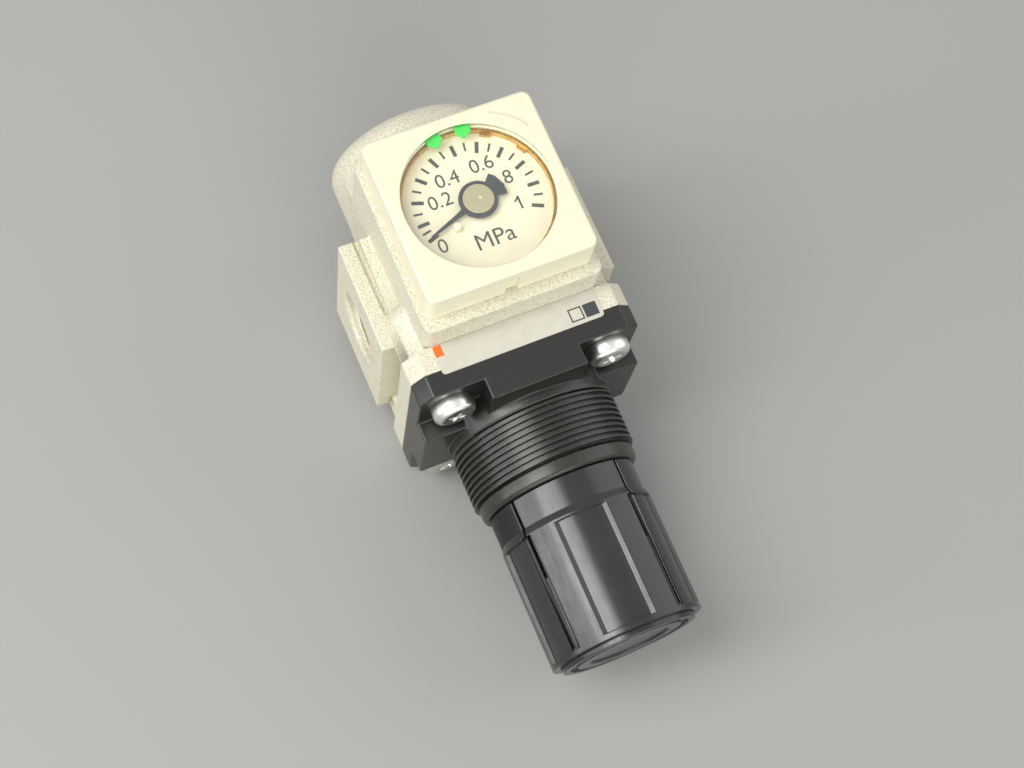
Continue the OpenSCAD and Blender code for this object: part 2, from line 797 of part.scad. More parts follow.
module knob() {
    color([0.16, 0.17, 0.18]) on_axis() difference() {
        rotate_extrude() knob_section();
        // hollow around the hub
        difference() {
            bar(knob_end_y + knob_end_t, knob_start_y + cut, knob_bore_r);
            bar(knob_end_y, hub_y, hub_r);
        }
        hex_bar(hex_end_y - 0.5, hub_y + cut, socket_af);
        bar(knob_end_y - cut, cap_seat_y, cap_r + fit_gap);
        knob_panels();
        knob_slits();
    }
}

module knob_cap() {
    high = cap_seat_y - fit_gap;
    low = high - cap_t;
    color([0.14, 0.15, 0.16]) on_axis() difference() {
        bar(low, high, cap_r);
        tube(low - cut, low + 0.45, cap_r - 1.2, cap_r - 2.4);
        bar(low - cut, low + 0.3, cap_r - 4.6);
    }
}

// ---- Gauge ---------------------------------------------------------------

module at_gauge_screws() {
    for (s = [-1, 1]) translate([s * gauge_screw_offset, -s * gauge_screw_offset, 0]) children();
}

module gauge_case() {
    head_z = frame_z + 1.5;
    color("ivory") at_gauge() difference() {
        union() {
            translate([0, 0, frame_z]) linear_extrude(case_height)
                round_rectangle(gauge_w, gauge_w, gauge_round);
            bar(case_floor_z, frame_z + cut, case_boss_r);
            bar(case_top_z - cut, rim_top_z, rim_out_r);
        }
        bar(case_floor_z + case_floor_t, case_top_z, case_bore_r);
        bar(dial_z - dial_t, rim_top_z + cut, rim_in_r);
        bar(case_floor_z - cut, case_floor_z + case_floor_t + cut, stem_socket_r);
        at_gauge_screws() {
            bar(frame_z - cut, case_top_z + cut, gauge_screw_r + fit_gap);
            bar(head_z, case_top_z + cut, gauge_head_r + 0.15);
        }
        // pry notch below the cover, on the knob's side
        translate([-1, -gauge_w / 2 - cut, frame_z - cut])
            cube([2, cut + 0.6, case_height + 2 * cut]);
    }
}

module gauge_stem() {
    floor_z = case_floor_z + case_floor_t;
    color("goldenrod") at_gauge() difference() {
        union() {
            bar(sense_z + sense_r, floor_z + fit_gap, stem_socket_r - fit_gap);
            bar(floor_z + fit_gap, floor_z + 0.9, stem_socket_r + 1.3);
        }
        bar(sense_z, floor_z, sense_r);
        translate([0, 0, pocket_floor_z - 3.2])
            tube(-0.7, 0.7, stem_socket_r + cut, stem_socket_r - 1.2);
    }
}

module gauge_o_ring() {
    color([0.08, 0.08, 0.08]) at_gauge() translate([0, 0, pocket_floor_z - 3.2])
        o_ring(stem_socket_r - seal_gap - 0.55, 0.55);
}

module gauge_screws() {
    color("silver") at_gauge() at_gauge_screws() translate([0, 0, frame_z + 1.5])
        rotate([180, 0, 30]) pan_screw(gauge_head_r, 1.3, gauge_screw_r, 5.5, 0.4);
}

module bourdon_spiral() {
    steps = 72;
    turns = 2.75;
    low = case_floor_z + case_floor_t + 1.3;
    inner = spiral_edge(2.2, 9, turns, -0.18, steps);
    outer = spiral_edge(2.2, 9, turns, 0.18, steps);
    color("darkgoldenrod") at_gauge() translate([0, 0, low]) linear_extrude(2.2)
        polygon(concat(outer, [for (i = [steps:-1:0]) inner[i]]));
}

module gauge_bridge() {
    low = case_floor_z + case_floor_t;
    color("goldenrod") at_gauge() difference() {
        union() {
            translate([-post_offset - post_r, -1.8, bridge_z])
                cube([2 * (post_offset + post_r), 3.6, bridge_t]);
            for (s = [-1, 1]) translate([s * post_offset, 0, 0])
                bar(low, bridge_z + bridge_t / 2, post_r);
        }
        bar(bridge_z - cut, bridge_z + bridge_t + cut, shaft_r + run_gap);
    }
}

module dial_plate() {
    color("lemonchiffon") at_gauge()
        tube(dial_z - dial_t, dial_z, dial_r, shaft_r + 0.35);
}

module dial_ring() {
    low = dial_z + fit_gap;
    color("goldenrod") at_gauge() {
        tube(low, low + ring_h, window_r - 0.02, window_r - 0.4);
        // two lugs that centre the ring
        for (a = [31, 62]) rotate([0, 0, a])
            translate([window_r - 0.95, -0.8, low]) cube([0.8, 1.6, 0.6]);
    }
}

module stop_peg() {
    color("white") at_gauge() rotate([0, 0, peg_angle]) translate([peg_offset, 0, 0])
        bar(dial_z, pointer_z + pointer_t, peg_r);
}

module pointer_shaft() {
    color("goldenrod") at_gauge() {
        bar(case_floor_z + case_floor_t + 1.25, pointer_z + pointer_t, shaft_r);
        bar(case_floor_z + case_floor_t + 1.3, case_floor_z + case_floor_t + 3.5, 1.6);
    }
}

module pointer() {
    color([0.2, 0.22, 0.24]) at_gauge() rotate([0, 0, zero_angle])
        translate([0, 0, pointer_z]) difference() {
            union() {
                bar(0, pointer_t, pointer_hub_r);
                linear_extrude(pointer_t)
                    polygon([[2, -0.6], [4, -0.36], [pointer_len, -0.16],
                        [pointer_len, 0.16], [4, 0.36], [2, 0.6]]);
                // counterweight
                intersection() {
                    bar(0, pointer_t, 4.6);
                    wedge(-cut, pointer_t + cut, 180, 56, 9);
                }
            }
            bar(-cut, pointer_t + cut, shaft_r + 0.01);
        }
}

module pointer_cap() {
    low = pointer_z + pointer_t;
    color("tan") at_gauge() difference() {
        bar(low, low + pointer_cap_t, pointer_cap_r);
        bar(low + 0.1, low + cut, 0.4);
    }
}

// A foot that slides around the case's rim, with a house-shaped tab over the dial
module limit_marker(angle) {
    tab_w = 2.4;
    shoulder_r = 10.9;
    tip_r = 10;
    color("lime") at_gauge() rotate([0, 0, angle]) {
        intersection() {
            tube(marker_z, marker_z + marker_t, rim_out_r, 11.6);
            wedge(marker_z - cut, marker_z + marker_t + cut, 0, 11.5, 20);
        }
        translate([0, 0, marker_z]) linear_extrude(marker_t)
            polygon([[tip_r, 0], [shoulder_r, -tab_w / 2], [12, -tab_w / 2],
                [12, tab_w / 2], [shoulder_r, tab_w / 2]]);
    }
}

module low_limit_marker() {
    limit_marker(low_marker_angle);
}

module high_limit_marker() {
    limit_marker(high_marker_angle);
}

// Arrow sunk into the cover beside the window
module cover_arrow() {
    translate([gauge_w / 2, gauge_w / 2, cover_top_z - 0.2]) linear_extrude(cut)
        polygon([[-7.2, -1.7], [-1.7, -1.7], [-2.9, -2.9], [-1.5, -4.4], [-2.4, -6], [-3.3, -4.5], [-4.6, -3.3]]);
}

module gauge_cover() {
    edge = 0.6;
    color("ivory") at_gauge() difference() {
        union() {
            translate([0, 0, case_top_z]) linear_extrude(cover_height - edge)
                round_rectangle(gauge_w, gauge_w, gauge_round);
            translate([0, 0, case_top_z]) linear_extrude(cover_height - edge / 2)
                round_rectangle(gauge_w - edge * 0.6, gauge_w - edge * 0.6, gauge_round);
            translate([0, 0, case_top_z]) linear_extrude(cover_height)
                round_rectangle(gauge_w - 2 * edge, gauge_w - 2 * edge, gauge_round);
        }
        bar(case_top_z - cut, window_z + window_t + fit_gap, cover_bore_r);
        bar(case_top_z, cover_top_z + cut, window_r);
        cover_arrow();
    }
}

module gauge_window() {
    color([0.85, 0.92, 0.95, 0.3]) at_gauge()
        bar(window_z, window_z + window_t, cover_bore_r - fit_gap);
}

// ---- Assembly ------------------------------------------------------------

body();
bonnet();
bonnet_screws();
nameplate();
valve_guide();
guide_o_ring();
guide_clip();
valve_spring();
valve_stem();
valve_seal();
diaphragm();
diaphragm_plate();
relief_seat();
setting_spring();
setting_nut();
setting_screw();
thrust_washer();
knob();
knob_cap();
gauge_case();
gauge_stem();
gauge_o_ring();
gauge_screws();
bourdon_spiral();
gauge_bridge();
dial_plate();
dial_ring();
stop_peg();
pointer_shaft();
pointer();
pointer_cap();
low_limit_marker();
high_limit_marker();
gauge_cover();
gauge_window();
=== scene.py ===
# Modular air pressure regulator with an embedded dial gauge, in the order it is put together.
from math import cos, pi, radians, sin

import bpy
from mathutils import Matrix, Vector


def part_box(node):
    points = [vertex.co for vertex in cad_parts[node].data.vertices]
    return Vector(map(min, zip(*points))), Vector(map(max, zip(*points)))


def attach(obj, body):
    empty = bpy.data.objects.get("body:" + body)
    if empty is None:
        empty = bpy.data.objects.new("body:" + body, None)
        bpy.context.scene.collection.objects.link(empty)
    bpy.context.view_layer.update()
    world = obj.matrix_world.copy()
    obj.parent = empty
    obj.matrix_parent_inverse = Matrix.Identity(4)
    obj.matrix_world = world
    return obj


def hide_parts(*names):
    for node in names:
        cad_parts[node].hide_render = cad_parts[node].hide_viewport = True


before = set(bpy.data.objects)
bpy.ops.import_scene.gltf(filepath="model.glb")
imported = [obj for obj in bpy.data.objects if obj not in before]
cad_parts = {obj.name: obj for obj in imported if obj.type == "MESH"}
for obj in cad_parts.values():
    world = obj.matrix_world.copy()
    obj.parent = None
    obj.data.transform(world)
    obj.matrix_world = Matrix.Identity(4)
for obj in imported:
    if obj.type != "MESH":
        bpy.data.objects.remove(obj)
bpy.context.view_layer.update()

# ---- Body ----
# One die casting of aluminium: flange, four screw pillars, two port bosses, barrel and gauge frame.
# Powder-coated in a silver beige with a sandy grain; the casting's edges are all slightly round.
mm = 0.001
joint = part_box("body")[0].y
axis_z = (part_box("knob")[0].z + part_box("knob")[1].z) / 2
port_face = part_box("body")[1].x


def alone(piece):
    """Only this piece is selected and active."""
    bpy.ops.object.select_all(action="DESELECT")
    piece.select_set(True)
    bpy.context.view_layer.objects.active = piece
    return piece


def copy_of(part, name):
    """A copy of a CAD node with its loose triangles merged into plain faces."""
    piece = bpy.data.objects.new(name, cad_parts[part].data.copy())
    piece.data.name = name
    piece.data.materials.clear()
    bpy.context.collection.objects.link(piece)
    alone(piece)
    bpy.ops.object.mode_set(mode="EDIT")
    bpy.ops.mesh.select_all(action="SELECT")
    bpy.ops.mesh.remove_doubles(threshold=0.002 * mm)
    bpy.ops.mesh.dissolve_limited(angle_limit=radians(0.5))
    bpy.ops.object.mode_set(mode="OBJECT")
    return piece


def finish_with(piece, kind, **settings):
    """Adds a modifier with its settings and applies it."""
    modifier = piece.modifiers.new(kind.lower(), kind)
    for key, value in settings.items():
        setattr(modifier, key, value)
    alone(piece)
    bpy.ops.object.modifier_apply(modifier=modifier.name)
    return piece


def soften(piece, width, segments=2, angle=35, shortest=0.0):
    """Rounds the sharp edges no shorter than the shortest, and shades the rest smooth."""
    alone(piece)
    bpy.ops.object.mode_set(mode="EDIT")
    bpy.ops.mesh.select_mode(type="EDGE")
    bpy.ops.mesh.select_all(action="DESELECT")
    bpy.ops.mesh.edges_select_sharp(sharpness=radians(angle))
    bpy.ops.object.mode_set(mode="OBJECT")
    weight = piece.data.attributes.new("bevel_weight_edge", "FLOAT", "EDGE")
    for edge in piece.data.edges:
        ends = [piece.data.vertices[i].co for i in edge.vertices]
        weight.data[edge.index].value = float(edge.select and (ends[0] - ends[1]).length >= shortest)
    finish_with(piece, "BEVEL", width=width, segments=segments, limit_method="WEIGHT",
                use_clamp_overlap=False, harden_normals=False)
    bpy.ops.object.shade_smooth_by_angle(angle=radians(angle))
    return finish_with(piece, "WEIGHTED_NORMAL", weight=50, keep_sharp=True)


def colour(hex_value):
    """An sRGB hex colour as the linear colour that a shader takes."""
    parts = [int(hex_value[i:i + 2], 16) / 255 for i in (1, 3, 5)]
    return [c / 12.92 if c <= 0.04045 else ((c + 0.055) / 1.055) ** 2.4 for c in parts] + [1]


def add_node(tree, kind, takes=None, **settings):
    """One shader node with its settings, and what its sockets take: a value or another node's socket."""
    made = tree.nodes.new(kind)
    for key, value in settings.items():
        setattr(made, key, value)
    for socket, value in (takes or {}).items():
        if isinstance(value, bpy.types.NodeSocket):
            tree.links.new(value, made.inputs[socket])
        else:
            made.inputs[socket].default_value = value
    return made


def new_finish(name, **constants):
    """A material, its node tree and its main shader with the constants set on the shader's own sockets."""
    material = bpy.data.materials.new(name)
    material.use_nodes = True
    tree = material.node_tree
    shader = next(n for n in tree.nodes if n.type == "BSDF_PRINCIPLED")
    for socket, value in constants.items():
        shader.inputs[socket.replace("_", " ")].default_value = value
    return material, tree, shader


def dress(piece, material):
    """Puts one material on all of a piece."""
    if not piece.material_slots:
        piece.data.materials.append(material)
    for each in piece.material_slots:
        each.material = material


# Powder coat over cast aluminium: a satin film with a sandy grain of about 0.25 mm, so it glitters softly
# in light and dark specks of silver and beige.
grain = 0.24 * mm
powder_coat, tree, shader = new_finish("sandy_powder_coat_on_cast_aluminium", Metallic=0.15, IOR=1.5)
place = add_node(tree, "ShaderNodeTexCoord").outputs["Object"]
fine = add_node(tree, "ShaderNodeTexNoise", {"Vector": place, "Scale": 1 / grain, "Detail": 3.0,
                                             "Roughness": 0.65})
wide = add_node(tree, "ShaderNodeTexNoise", {"Vector": place, "Scale": 1 / (9 * mm), "Detail": 2.0})
specks = add_node(tree, "ShaderNodeValToRGB", {"Fac": fine.outputs["Fac"]})
specks.color_ramp.elements[0].position = 0.36
specks.color_ramp.elements[0].color = colour("#B4AE96")
specks.color_ramp.elements[1].position = 0.62
specks.color_ramp.elements[1].color = colour("#EEEAD6")
middle = specks.color_ramp.elements.new(0.47)
middle.color = colour("#DCD8C4")
patina = add_node(tree, "ShaderNodeMapRange", {"Value": wide.outputs["Fac"], "From Min": 0.3, "From Max": 0.7,
                                               "To Min": 0.0, "To Max": 0.22})
coat = add_node(tree, "ShaderNodeMix", {"Factor": patina.outputs["Result"], "A": specks.outputs["Color"],
                                        "B": colour("#E2DFCE")}, data_type="RGBA")
rough = add_node(tree, "ShaderNodeMapRange", {"Value": fine.outputs["Fac"], "To Min": 0.42, "To Max": 0.68})
bump = add_node(tree, "ShaderNodeBump", {"Height": fine.outputs["Fac"], "Strength": 0.6, "Distance": 0.05 * mm})
tree.links.new(coat.outputs["Result"], shader.inputs["Base Color"])
tree.links.new(rough.outputs["Result"], shader.inputs["Roughness"])
tree.links.new(bump.outputs["Normal"], shader.inputs["Normal"])

casting = copy_of("body", "cast_body")
soften(casting, 0.25 * mm, shortest=1.6 * mm)
dress(casting, powder_coat)
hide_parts("body")
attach(casting, "housing")

# ---- Port threads ----
# Quarter-inch pipe threads, cut after the coating, so their ridges are bare bright aluminium.
# One tooth outline swept round the port's axis six times.
port_root, port_crest, port_pitch, port_turns = 6.0 * mm, 5.45 * mm, 1.337 * mm, 6


def thread_ridge(name, root, crest, foot, top, pitch, turns, steps=96):
    """The ridge of a thread that climbs local Z, as one closed solid."""
    bpy.ops.object.select_all(action="DESELECT")
    bpy.ops.mesh.primitive_plane_add(size=1, location=((root + crest) / 2, 0, foot / 2), rotation=(pi / 2, 0, 0))
    ridge = bpy.context.object
    ridge.name = ridge.data.name = name
    ridge.scale = (abs(crest - root), foot, 1)
    bpy.ops.object.transform_apply()
    for corner in ridge.data.vertices:
        corner.select = abs(corner.co.x - crest) < 0.01 * mm
    bpy.ops.object.mode_set(mode="EDIT")
    bpy.ops.transform.resize(value=(1, 1, top / foot), center_override=(crest, 0, foot / 2))
    bpy.ops.mesh.select_all(action="SELECT")
    bpy.ops.mesh.delete(type="ONLY_FACE")
    bpy.ops.object.mode_set(mode="OBJECT")
    finish_with(ridge, "SCREW", axis="Z", screw_offset=pitch, iterations=turns, steps=steps, render_steps=steps)
    bpy.ops.object.mode_set(mode="EDIT")
    bpy.ops.mesh.select_all(action="SELECT")
    bpy.ops.mesh.fill_holes(sides=4)
    bpy.ops.mesh.normals_make_consistent(inside=False)
    bpy.ops.object.mode_set(mode="OBJECT")
    return ridge


def settle(piece, at, turn):
    """Moves a piece to its place and keeps that place in its mesh."""
    alone(piece)
    piece.location, piece.rotation_euler = at, turn
    bpy.ops.object.transform_apply()
    return piece


# Cut aluminium: bright, with a sheen that tool marks break up every 0.4 mm.
cut_aluminium, tree, shader = new_finish("thread_cut_aluminium", Metallic=1.0)
place = add_node(tree, "ShaderNodeTexCoord").outputs["Object"]
lines = add_node(tree, "ShaderNodeTexNoise", {"Vector": place, "Scale": 1 / (0.4 * mm), "Detail": 2.0})
shade = add_node(tree, "ShaderNodeMix", {"Factor": lines.outputs["Fac"], "A": colour("#C9C4B0"),
                                         "B": colour("#EFECDD")}, data_type="RGBA")
rough = add_node(tree, "ShaderNodeMapRange", {"Value": lines.outputs["Fac"], "To Min": 0.25, "To Max": 0.45})
tree.links.new(shade.outputs["Result"], shader.inputs["Base Color"])
tree.links.new(rough.outputs["Result"], shader.inputs["Roughness"])

for side, name in ((1, "outlet_thread"), (-1, "inlet_thread")):
    port = thread_ridge(name, port_root + 0.1 * mm, port_crest, 1.15 * mm, 0.25 * mm, port_pitch, port_turns)
    settle(port, (side * (port_face - 9.6 * mm), 0, axis_z), (0, side * pi / 2, 0))
    bpy.ops.object.shade_smooth_by_angle(angle=radians(35))
    dress(port, cut_aluminium)
    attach(port, "housing")

# ---- Diaphragm, valve and springs ----
# The working parts inside the body: a rubber diaphragm on an aluminium plate, a brass valve in its guide,
# and two steel springs. They are turned, moulded and wound, and drop in from both ends.

# Turned brass: warm, with faint rings from the lathe about 0.3 mm apart.
brass, tree, shader = new_finish("turned_brass", Metallic=1.0)
place = add_node(tree, "ShaderNodeTexCoord").outputs["Object"]
rings = add_node(tree, "ShaderNodeTexWave", {"Vector": place, "Scale": 0.3 / (0.3 * mm), "Distortion": 1.5,
                                             "Detail": 2.0}, wave_type="BANDS", bands_direction="Y")
shade = add_node(tree, "ShaderNodeMix", {"Factor": rings.outputs["Fac"], "A": colour("#C79F55"),
                                         "B": colour("#DDBB74")}, data_type="RGBA")
rough = add_node(tree, "ShaderNodeMapRange", {"Value": rings.outputs["Fac"], "To Min": 0.22, "To Max": 0.38})
tree.links.new(shade.outputs["Result"], shader.inputs["Base Color"])
tree.links.new(rough.outputs["Result"], shader.inputs["Roughness"])

# Spring wire and stampings: drawn steel, grey, with slight streaks a few tenths of a millimetre wide.
steel, tree, shader = new_finish("drawn_spring_steel", Metallic=1.0)
place = add_node(tree, "ShaderNodeTexCoord").outputs["Object"]
streaks = add_node(tree, "ShaderNodeTexNoise", {"Vector": place, "Scale": 1 / (0.5 * mm), "Detail": 3.0})
shade = add_node(tree, "ShaderNodeMix", {"Factor": streaks.outputs["Fac"], "A": colour("#8E8D89"),
                                         "B": colour("#C2C1BC")}, data_type="RGBA")
rough = add_node(tree, "ShaderNodeMapRange", {"Value": streaks.outputs["Fac"], "To Min": 0.28, "To Max": 0.5})
tree.links.new(shade.outputs["Result"], shader.inputs["Base Color"])
tree.links.new(rough.outputs["Result"], shader.inputs["Roughness"])

# Nitrile rubber: nearly black and matt, with a bloom that lightens it in patches of about 2 mm.
rubber, tree, shader = new_finish("moulded_nitrile_rubber", IOR=1.52)
place = add_node(tree, "ShaderNodeTexCoord").outputs["Object"]
bloom = add_node(tree, "ShaderNodeTexNoise", {"Vector": place, "Scale": 1 / (2 * mm), "Detail": 4.0})
shade = add_node(tree, "ShaderNodeMix", {"Factor": bloom.outputs["Fac"], "A": colour("#1E1E1E"),
                                         "B": colour("#343432")}, data_type="RGBA")
rough = add_node(tree, "ShaderNodeMapRange", {"Value": bloom.outputs["Fac"], "To Min": 0.6, "To Max": 0.8})
tree.links.new(shade.outputs["Result"], shader.inputs["Base Color"])
tree.links.new(rough.outputs["Result"], shader.inputs["Roughness"])

for part in ("valve_stem", "relief_seat", "setting_nut", "gauge_stem", "bourdon_spiral", "gauge_bridge",
             "pointer_shaft"):
    dress(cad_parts[part], brass)
for part in ("valve_spring", "guide_clip", "setting_spring", "setting_screw"):
    dress(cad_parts[part], steel)
for part in ("diaphragm", "valve_seal", "guide_o_ring", "gauge_o_ring"):
    dress(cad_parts[part], rubber)
dress(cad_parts["diaphragm_plate"], cut_aluminium)

# ---- Bonnet ----
# Square flange, four arms and threaded collar in one moulding of black glass-filled nylon.
# Its edges are rounded by the mould, and grey dust sits in the thread that clamps it to a panel.
arm_face = joint - 7.15 * mm
thread_top = arm_face - 1.65 * mm
thread_pitch, thread_turns = 1.0 * mm, 9
thread_root, thread_crest = 13.35 * mm, 13.95 * mm


def add_shape(operator, name, at, turn=(0, 0, 0), **sizes):
    """A primitive added at its place, named, and left selected alone."""
    bpy.ops.object.select_all(action="DESELECT")
    operator(location=at, rotation=turn, **sizes)
    piece = bpy.context.object
    piece.name = piece.data.name = name
    bpy.ops.object.transform_apply()
    return piece


def rod(name, low, high, radius, vertices=128):
    """A cylinder on the knob's axis between two places along it."""
    return add_shape(bpy.ops.mesh.primitive_cylinder_add, name, (0, (low + high) / 2, axis_z), (pi / 2, 0, 0),
                     radius=radius, depth=high - low, vertices=vertices)


def block(name, low, high):
    """A box between two corners."""
    return add_shape(bpy.ops.mesh.primitive_cube_add, name, [(a + b) / 2 for a, b in zip(low, high)], size=1,
                     scale=[b - a for a, b in zip(low, high)])


def carve(piece, *cutters):
    """Cuts each cutter's shape out of the piece."""
    for cutter in cutters:
        finish_with(piece, "BOOLEAN", operation="DIFFERENCE", object=cutter, solver="EXACT")
        bpy.data.objects.remove(cutter)
    return piece


def join(piece, *others):
    """Makes the others part of the first piece."""
    alone(piece)
    for other in others:
        other.select_set(True)
    bpy.ops.object.join()
    return piece


# Glass-filled nylon: black with a satin skin; fibres mottle it every 0.4 mm, and dust lies on the collar.
nylon, tree, shader = new_finish("moulded_glass_filled_nylon", IOR=1.53)
place = add_node(tree, "ShaderNodeTexCoord").outputs["Object"]
fibres = add_node(tree, "ShaderNodeTexNoise", {"Vector": place, "Scale": 1 / (0.4 * mm), "Detail": 4.0})
skin = add_node(tree, "ShaderNodeMix", {"Factor": fibres.outputs["Fac"], "A": colour("#151615"),
                                        "B": colour("#262725")}, data_type="RGBA")
along = add_node(tree, "ShaderNodeSeparateXYZ", {"Vector": place})
collar = add_node(tree, "ShaderNodeMapRange", {"Value": along.outputs["Y"], "From Min": arm_face + 1 * mm,
                                               "From Max": arm_face - 1.5 * mm, "To Min": 0.08, "To Max": 0.55})
grit = add_node(tree, "ShaderNodeTexNoise", {"Vector": place, "Scale": 1 / (0.2 * mm), "Detail": 5.0,
                                             "Roughness": 0.75})
lumps = add_node(tree, "ShaderNodeMapRange", {"Value": grit.outputs["Fac"], "From Min": 0.56, "From Max": 0.7})
dust = add_node(tree, "ShaderNodeMath", {0: collar.outputs["Result"], 1: lumps.outputs["Result"]},
                operation="MULTIPLY")
dusty = add_node(tree, "ShaderNodeMix", {"Factor": dust.outputs["Value"], "A": skin.outputs["Result"],
                                         "B": colour("#A39B7C")}, data_type="RGBA")
rough = add_node(tree, "ShaderNodeMapRange", {"Value": dust.outputs["Value"], "To Min": 0.31, "To Max": 0.8})
bump = add_node(tree, "ShaderNodeBump", {"Height": fibres.outputs["Fac"], "Strength": 0.25,
                                         "Distance": 0.012 * mm})
tree.links.new(dusty.outputs["Result"], shader.inputs["Base Color"])
tree.links.new(rough.outputs["Result"], shader.inputs["Roughness"])
tree.links.new(bump.outputs["Normal"], shader.inputs["Normal"])

bonnet = copy_of("bonnet", "moulded_bonnet")
thread_foot = thread_top - thread_turns * thread_pitch
groove = rod("groove", thread_foot - 0.3 * mm, thread_top - 0.05 * mm, thread_crest + 1 * mm)
carve(groove, rod("core", thread_top - 12 * mm, thread_top + 3 * mm, thread_root - 0.05 * mm))
carve(bonnet, groove)
soften(bonnet, 0.28 * mm)
ridge = thread_ridge("panel_thread", thread_root - 0.15 * mm, thread_crest, 0.78 * mm, 0.34 * mm,
                     thread_pitch, thread_turns, steps=128)
settle(ridge, (0, thread_top - 0.1 * mm, axis_z), (pi / 2, 0, 0))
bpy.ops.object.shade_smooth_by_angle(angle=radians(30))
join(bonnet, ridge)
dress(bonnet, nylon)
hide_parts("bonnet")
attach(bonnet, "housing")

# ---- Bonnet screws ----
# Four pan-head machine screws with a cross recess, cold-headed from steel and zinc plated.
# They pass through the bonnet's corners into the pillars, each left at its own angle.
head_r, head_h, screw_at = 3.5 * mm, 2.7 * mm, 13.2 * mm
head_seat = joint - 3.75 * mm

# Zinc plating: pale grey metal, slightly cloudy in patches of about 1 mm with fine scuffs.
zinc, tree, shader = new_finish("zinc_plated_steel", Metallic=1.0)
place = add_node(tree, "ShaderNodeTexCoord").outputs["Object"]
cloud = add_node(tree, "ShaderNodeTexNoise", {"Vector": place, "Scale": 1 / (1.2 * mm), "Detail": 5.0,
                                              "Roughness": 0.6})
shade = add_node(tree, "ShaderNodeMix", {"Factor": cloud.outputs["Fac"], "A": colour("#D4D3CE"),
                                         "B": colour("#FAF9F5")}, data_type="RGBA")
rough = add_node(tree, "ShaderNodeMapRange", {"Value": cloud.outputs["Fac"], "To Min": 0.2, "To Max": 0.42})
bump = add_node(tree, "ShaderNodeBump", {"Height": cloud.outputs["Fac"], "Strength": 0.25, "Distance": 0.05 * mm})
tree.links.new(shade.outputs["Result"], shader.inputs["Base Color"])
tree.links.new(rough.outputs["Result"], shader.inputs["Roughness"])
tree.links.new(bump.outputs["Normal"], shader.inputs["Normal"])


def select_faces(piece, test):
    """Opens the piece for editing with only the faces that pass the test selected."""
    alone(piece)
    bpy.ops.object.mode_set(mode="EDIT")
    bpy.ops.mesh.select_mode(type="FACE")
    bpy.ops.mesh.select_all(action="DESELECT")
    bpy.ops.object.mode_set(mode="OBJECT")
    for face in piece.data.polygons:
        face.select = test(face.center, face.normal)
    bpy.ops.object.mode_set(mode="EDIT")


head = add_shape(bpy.ops.mesh.primitive_cylinder_add, "bonnet_screw_heads", (0, 0, head_h / 2), radius=head_r,
                 depth=head_h, vertices=64)
select_faces(head, lambda at, normal: normal.z > 0.9)
bpy.ops.mesh.bevel(offset=1.25 * mm, segments=8, profile=0.55)
bpy.ops.object.mode_set(mode="OBJECT")
for turn in (0, pi / 2):
    wing = block("wing", (-2.0 * mm, -0.42 * mm, 0.9 * mm), (2.0 * mm, 0.42 * mm, head_h + 1 * mm))
    select_faces(wing, lambda at, normal: normal.z < -0.9)
    bpy.ops.transform.resize(value=(0.35, 0.6, 1), center_override=(0, 0, 0))
    bpy.ops.object.mode_set(mode="OBJECT")
    settle(wing, (0, 0, 0), (0, 0, turn))
    carve(head, wing)
soften(head, 0.08 * mm, angle=40)
heads = []
for number, (x, z, turn) in enumerate(((-1, 1, 25), (1, 1, 70), (1, -1, 10), (-1, -1, 50))):
    each = head if number == 0 else bpy.data.objects.new(f"head_{number}", head_mesh.copy())
    if number == 0:
        head_mesh = head.data.copy()
    else:
        bpy.context.collection.objects.link(each)
    alone(each)
    each.rotation_euler = (pi / 2, radians(turn), 0)
    each.location = (x * screw_at, head_seat, axis_z + z * screw_at)
    bpy.ops.object.transform_apply()
    heads.append(each)
join(*heads)
dress(head, zinc)
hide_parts("bonnet_screws")
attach(head, "housing")

# ---- Nameplate ----
# A blank film label, laid over the joint of body and bonnet, with a coloured corner mark
# and two small boxes printed on it, one empty and one filled.

# Label film: white polyester with a silvery sheen, very slightly uneven where it lies on the coating.
film, tree, shader = new_finish("white_label_film", Roughness=0.3, IOR=1.5)
place = add_node(tree, "ShaderNodeTexCoord").outputs["Object"]
uneven = add_node(tree, "ShaderNodeTexNoise", {"Vector": place, "Scale": 1 / (1.5 * mm), "Detail": 3.0})
shade = add_node(tree, "ShaderNodeMix", {"Factor": uneven.outputs["Fac"], "A": colour("#C4C2B6"),
                                         "B": colour("#D6D4C9")}, data_type="RGBA")
bump = add_node(tree, "ShaderNodeBump", {"Height": uneven.outputs["Fac"], "Strength": 0.2, "Distance": 0.04 * mm})
tree.links.new(shade.outputs["Result"], shader.inputs["Base Color"])
tree.links.new(bump.outputs["Normal"], shader.inputs["Normal"])
dress(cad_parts["nameplate"], film)

label_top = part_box("nameplate")[1].z
ink_t = 0.03 * mm


def ink(name, hex_value):
    """Printing ink: a matt colour whose density wanders a little over about 0.5 mm."""
    material, tree, shader = new_finish(name, Roughness=0.55, IOR=1.5)
    place = add_node(tree, "ShaderNodeTexCoord").outputs["Object"]
    density = add_node(tree, "ShaderNodeTexNoise", {"Vector": place, "Scale": 1 / (0.5 * mm), "Detail": 2.0})
    paler = [min(1, 1.35 * c + 0.01) for c in colour(hex_value)[:3]] + [1]
    shade = add_node(tree, "ShaderNodeMix", {"Factor": density.outputs["Fac"], "A": colour(hex_value),
                                             "B": paler}, data_type="RGBA")
    tree.links.new(shade.outputs["Result"], shader.inputs["Base Color"])
    return material


